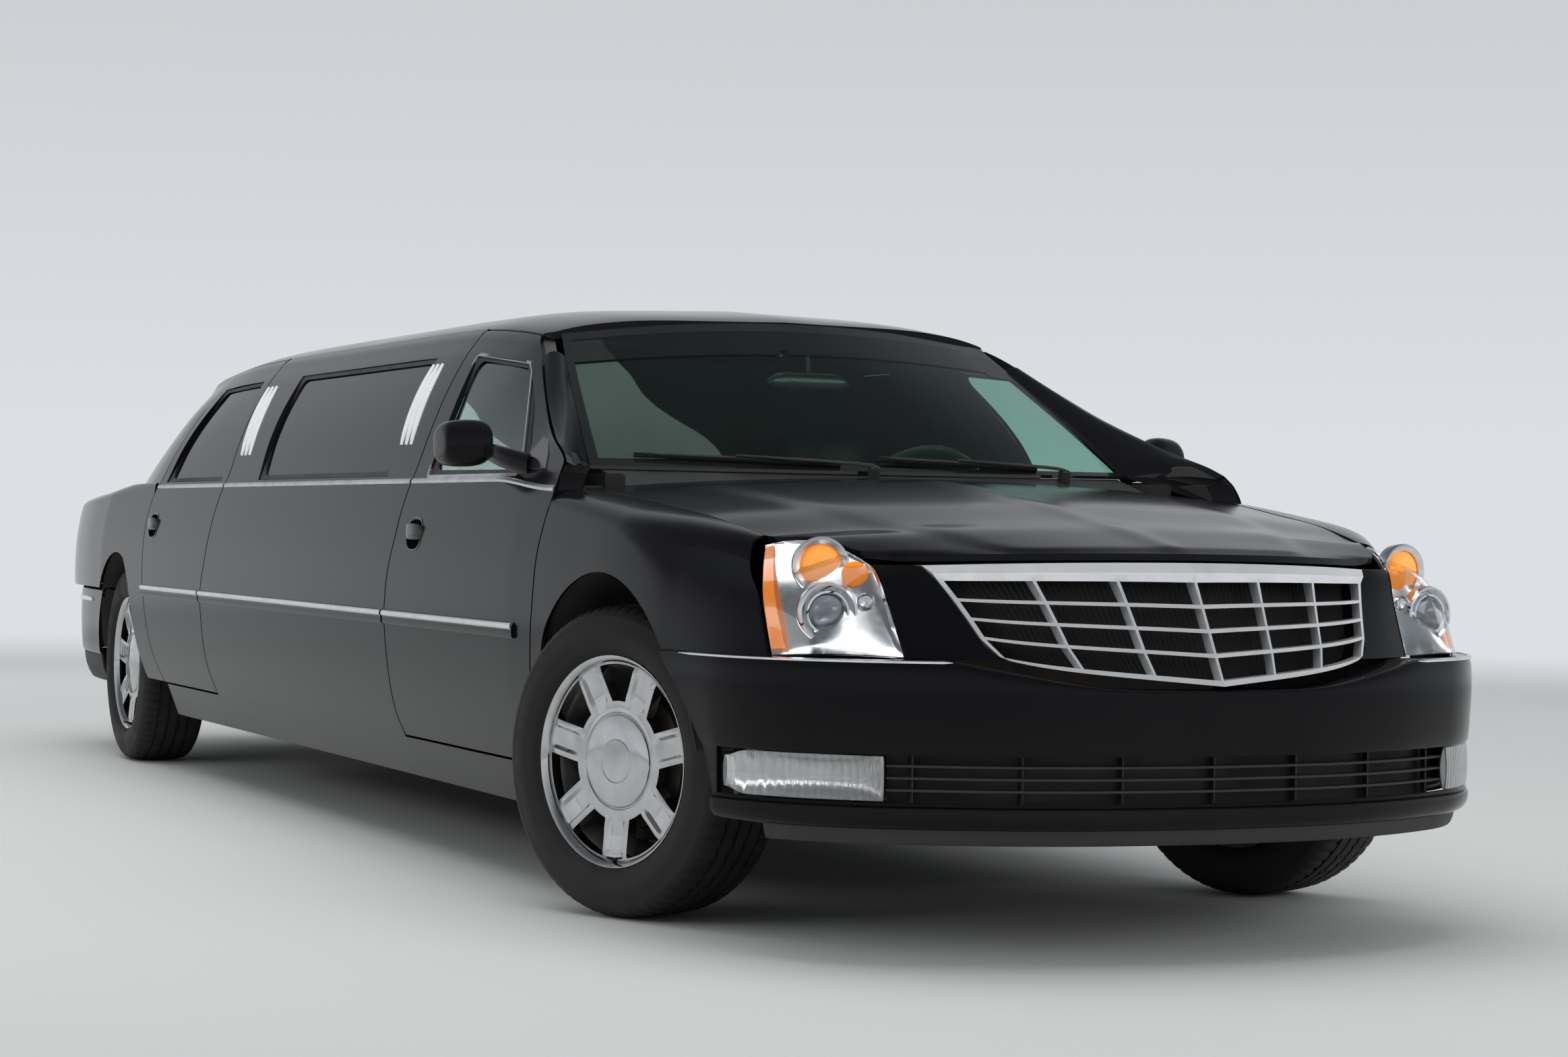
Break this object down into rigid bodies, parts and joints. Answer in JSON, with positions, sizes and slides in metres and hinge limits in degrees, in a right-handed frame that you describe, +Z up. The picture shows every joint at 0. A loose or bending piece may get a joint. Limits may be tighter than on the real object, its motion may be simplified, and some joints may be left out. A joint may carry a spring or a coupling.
{
  "type": "stretch limousine",
  "caption": "Long black saloon car with a stretched middle section, an upright crate grille, hinged doors, bonnet and trunk lid, and front wheels that steer.",
  "frame": {"origin": "on the ground, midway along the car and on its centre line", "axes": "+X forward, +Y to the car's left, +Z up"},
  "size_m": [7.254, 2.044, 1.463],
  "materials": {
    "paint": "gloss black paint",
    "tinted_glass": "green-tinted glass",
    "privacy_glass": "dark privacy glass",
    "chrome": "polished chrome",
    "satin_metal": "satin silver plating",
    "lamp": "clear lamp lens",
    "red_lamp": "red lamp lens",
    "black_plastic": "matte black moulding",
    "interior_trim": "grained interior trim",
    "leather": "black leather",
    "underbody": "black underbody paint",
    "engine_iron": "bare cast iron",
    "tyre": "black rubber"
  },
  "bodies": {
    "body": {"a_pillar_L": "paint", "a_pillar_R": "paint", "cowl": "black_plastic", "dashboard": "interior_trim", "engine": "engine_iron", "fender_L": "paint", "fender_R": "paint", "firewall": "underbody", "floor_pan": "underbody", "front_bumper": "paint", "front_frame": "underbody", "front_seat_L": "leather", "front_seat_R": "leather", "grille": "satin_metal", "headlamp_L": "lamp", "headlamp_R": "lamp", "lower_grille": "black_plastic", "middle_frame": "underbody", "nose_panel_L": "paint", "nose_panel_R": "paint", "parcel_shelf": "interior_trim", "partition": "interior_trim", "quarter_L": "paint", "quarter_R": "paint", "rear_axle": "engine_iron", "rear_bench": "leather", "rear_bumper": "paint", "rear_frame": "underbody", "rear_window": "privacy_glass", "roof": "paint", "side_glass_L": "privacy_glass", "side_glass_R": "privacy_glass", "side_panel_L": "paint", "side_panel_R": "paint", "tail_lamp_L": "red_lamp", "tail_lamp_R": "red_lamp", "windshield": "tinted_glass"},
    "front_door_body_R": {"front_door_R": "paint", "front_door_glass_R": "tinted_glass", "mirror_R": "paint"},
    "rear_door_body_R": {"rear_door_R": "paint", "rear_door_glass_R": "privacy_glass"},
    "front_door_body_L": {"front_door_L": "paint", "front_door_glass_L": "tinted_glass", "mirror_L": "paint"},
    "rear_door_body_L": {"rear_door_L": "paint", "rear_door_glass_L": "privacy_glass"},
    "hood_body": {"hood": "paint"},
    "trunk_lid_body": {"trunk_lid": "paint"},
    "steering_wheel_body": {"steering_wheel": "leather"},
    "knuckle_body_R": {"knuckle_R": "engine_iron"},
    "knuckle_body_L": {"knuckle_L": "engine_iron"},
    "wheel_front_R": {"rim_front_R": "chrome", "tyre_front_R": "tyre"},
    "wheel_rear_R": {"rim_rear_R": "chrome", "tyre_rear_R": "tyre"},
    "wheel_front_L": {"rim_front_L": "chrome", "tyre_front_L": "tyre"},
    "wheel_rear_L": {"rim_rear_L": "chrome", "tyre_rear_L": "tyre"}
  },
  "joints": [
    {"name": "front_door_hinge_R", "type": "hinge", "parent": "body", "child": "front_door_body_R", "pos_m": [2.087, -0.9535, 0.31], "axis": [0, 0, 1], "range_deg": [0, 65]},
    {"name": "rear_door_hinge_R", "type": "hinge", "parent": "body", "child": "rear_door_body_R", "pos_m": [-1.136, -0.9535, 0.31], "axis": [0, 0, 1], "range_deg": [0, 65]},
    {"name": "front_door_hinge_L", "type": "hinge", "parent": "body", "child": "front_door_body_L", "pos_m": [2.087, 0.9535, 0.31], "axis": [0, 0, -1], "range_deg": [0, 65]},
    {"name": "rear_door_hinge_L", "type": "hinge", "parent": "body", "child": "rear_door_body_L", "pos_m": [-1.136, 0.9535, 0.31], "axis": [0, 0, -1], "range_deg": [0, 65]},
    {"name": "hood_hinge", "type": "hinge", "parent": "body", "child": "hood_body", "pos_m": [2.132, 0, 0.989], "axis": [0, -1, 0], "range_deg": [0, 50]},
    {"name": "trunk_lid_hinge", "type": "hinge", "parent": "body", "child": "trunk_lid_body", "pos_m": [-2.882, 0, 0.986], "axis": [0, 1, 0], "range_deg": [0, 75]},
    {"name": "kingpin_R", "type": "hinge", "parent": "body", "child": "knuckle_body_R", "pos_m": [2.462, -0.77, 0.345], "axis": [0, 0, 1], "range_deg": [-56, 12]},
    {"name": "kingpin_L", "type": "hinge", "parent": "body", "child": "knuckle_body_L", "pos_m": [2.462, 0.77, 0.345], "axis": [0, 0, 1], "range_deg": [-56, 12]},
    {"name": "front_wheel_spin_R", "type": "hinge", "parent": "knuckle_body_R", "child": "wheel_front_R", "pos_m": [2.4721, -0.795, 0.345], "axis": [-0.3746, 0.9272, 0], "continuous": true},
    {"name": "rear_wheel_spin_R", "type": "hinge", "parent": "body", "child": "wheel_rear_R", "pos_m": [-2.454, -0.797, 0.345], "axis": [0, 1, 0], "continuous": true},
    {"name": "front_wheel_spin_L", "type": "hinge", "parent": "knuckle_body_L", "child": "wheel_front_L", "pos_m": [2.4519, 0.795, 0.345], "axis": [-0.3746, 0.9272, 0], "continuous": true},
    {"name": "rear_wheel_spin_L", "type": "hinge", "parent": "body", "child": "wheel_rear_L", "pos_m": [-2.454, 0.797, 0.345], "axis": [0, 1, 0], "continuous": true},
    {"name": "steering_wheel_turn", "type": "hinge", "parent": "body", "child": "steering_wheel_body", "pos_m": [1.432, 0.36, 0.905], "axis": [-0.8829, 0, 0.4695], "range_deg": [-840, 180]}
  ],
  "couplings": [
    {"joint": "kingpin_L", "follows": "kingpin_R", "ratio": 1},
    {"joint": "steering_wheel_turn", "follows": "kingpin_R", "ratio": 15}
  ]
}
